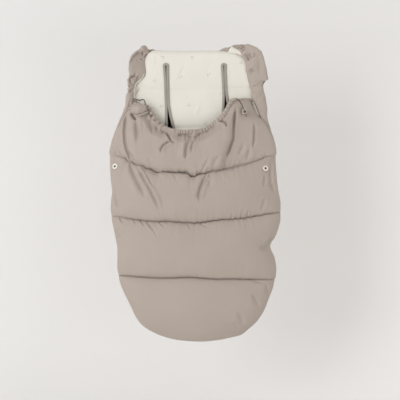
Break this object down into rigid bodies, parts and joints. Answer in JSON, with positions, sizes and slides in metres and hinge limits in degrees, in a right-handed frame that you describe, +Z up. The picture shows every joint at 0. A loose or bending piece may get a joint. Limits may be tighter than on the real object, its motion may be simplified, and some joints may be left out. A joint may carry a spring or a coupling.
{
  "type": "stroller footmuff",
  "caption": "Padded pushchair footmuff with quilted front, gathered neckline, side zips, harness slots, fold-down cover and a pocket over the seat.",
  "frame": {"origin": "top of the seat inside the rear pocket, on the rear face of the back, at mid width", "axes": "+Z up along the back, -Y towards the front of the footmuff, +X to the right seen from the front"},
  "size_m": [0.5138, 0.143, 0.8945],
  "materials": {
    "shell_cloth": "matt",
    "lining_cloth": "soft, with a small repeated motif",
    "wadding": "fluffy",
    "binding_tape": "matt",
    "elastic": "matt",
    "zip_tape": "matt",
    "nickel": "plated",
    "cord": "braided",
    "stud_plastic": "semi-gloss",
    "socket_metal": "dark",
    "moulded_plastic": "satin",
    "spring_steel": "bright"
  },
  "bodies": {
    "bag": {"back_shell": "shell_cloth", "back_wadding": "wadding", "back_lining": "lining_cloth", "slot_binding_left": "binding_tape", "slot_binding_right": "binding_tape", "seat_pocket": "shell_cloth", "pocket_elastic": "elastic", "side_roll_left": "shell_cloth", "side_roll_right": "shell_cloth", "side_zip_tape_left": "zip_tape", "side_zip_tape_right": "zip_tape", "middle_cover_cloth": "shell_cloth", "middle_cover_wadding": "wadding", "lower_cover_cloth": "shell_cloth", "lower_cover_wadding": "wadding", "foot_cover_cloth": "shell_cloth", "foot_cover_wadding": "wadding", "front_lining": "lining_cloth", "closed_zip_left": "zip_tape", "closed_zip_right": "zip_tape", "foot_band": "shell_cloth", "press_stud_ring_left": "stud_plastic", "press_stud_socket_left": "socket_metal", "press_stud_ring_right": "stud_plastic", "press_stud_socket_right": "socket_metal"},
    "upper_cover": {"upper_cover_cloth": "shell_cloth", "upper_cover_wadding": "wadding", "upper_cover_lining": "lining_cloth", "neckline_tunnel": "shell_cloth", "drawcord": "cord", "cover_zip_tape_left": "zip_tape", "cover_zip_tape_right": "zip_tape", "cord_lock_barrel": "moulded_plastic", "cord_lock_spring": "spring_steel", "drawcord_loop_left": "cord", "drawcord_end_right": "cord", "drawcord_knot": "cord"},
    "left_slider": {"zip_slider_left": "nickel"},
    "left_pull": {"zip_pull_left": "moulded_plastic"},
    "right_slider": {"zip_slider_right": "nickel"},
    "right_pull": {"zip_pull_right": "moulded_plastic"},
    "lock_plunger": {"cord_lock_plunger": "moulded_plastic"}
  },
  "joints": [
    {"name": "cover_fold", "type": "hinge", "parent": "bag", "child": "upper_cover", "pos_m": [0, -0.117, -0.351], "axis": [1, 0, 0], "range_deg": [0, 170]},
    {"name": "zip_run_left", "type": "slide", "parent": "bag", "child": "left_slider", "axis": [-0.385, 0, -0.9229], "range_m": [0, 0.12]},
    {"name": "pull_swing_left", "type": "hinge", "parent": "left_slider", "child": "left_pull", "pos_m": [-0.18169, -0.05385, -0.14077], "axis": [-0.9229, 0, 0.385], "range_deg": [0, 150]},
    {"name": "zip_run_right", "type": "slide", "parent": "bag", "child": "right_slider", "axis": [0.3702, 0, -0.929], "range_m": [0, 0.12]},
    {"name": "pull_swing_right", "type": "hinge", "parent": "right_slider", "child": "right_pull", "pos_m": [0.17157, -0.05385, -0.14083], "axis": [-0.929, 0, -0.3702], "range_deg": [0, 150]},
    {"name": "lock_press", "type": "slide", "parent": "upper_cover", "child": "lock_plunger", "axis": [0, 1, 0], "range_m": [0, 0.003], "stiffness_N_per_m": 250, "springref_m": -0.006, "deforming": ["cord_lock_spring"]}
  ]
}
